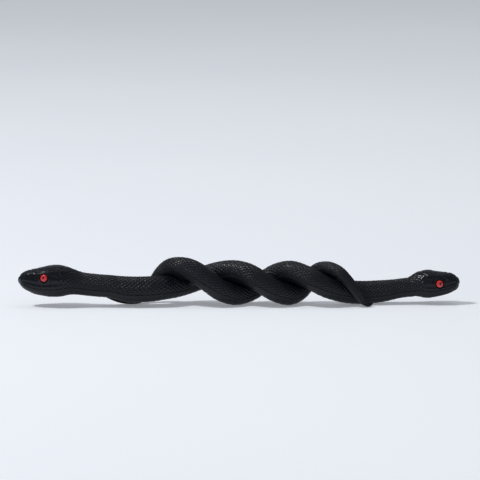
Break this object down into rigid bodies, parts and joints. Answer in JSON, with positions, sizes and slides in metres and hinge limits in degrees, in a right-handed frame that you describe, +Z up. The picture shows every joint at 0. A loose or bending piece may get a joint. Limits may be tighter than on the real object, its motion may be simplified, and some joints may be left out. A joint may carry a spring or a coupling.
{
  "type": "twisty snake puzzle",
  "caption": "Twisting brain teaser: rigid toy snakes wound round each other in a double helix, heads at opposite ends, parted by unscrewing.",
  "frame": {"origin": "on the surface the puzzle lies on, under the middle of its length and width", "axes": "+X along the twist axis from the left snake's head to the right snake's head, +Z up, -Y the side that faces the viewer"},
  "size_m": [0.2698, 0.0311, 0.03],
  "materials": {
    "snake_black": "satin, moulded scales",
    "eye_red": "polished bead",
    "pin_steel": "plain"
  },
  "bodies": {
    "left_snake": {"left_back_half": "snake_black", "left_belly_half": "snake_black", "left_front_eye": "eye_red", "left_rear_eye": "eye_red"},
    "pin": {"twist_pin": "pin_steel"},
    "right_snake": {"right_back_half": "snake_black", "right_belly_half": "snake_black", "right_front_eye": "eye_red", "right_rear_eye": "eye_red"}
  },
  "joints": [
    {"name": "unscrew_travel", "type": "slide", "parent": "left_snake", "child": "pin", "axis": [1, 0, 0], "range_m": [0, 0.17]},
    {"name": "unscrew_turn", "type": "hinge", "parent": "pin", "child": "right_snake", "pos_m": [0.1155, 0, 0.01355], "axis": [1, 0, 0], "range_deg": [0, 935]}
  ],
  "couplings": [
    {"joint": "unscrew_turn", "follows": "unscrew_travel", "rad_per_m": 95.927}
  ]
}
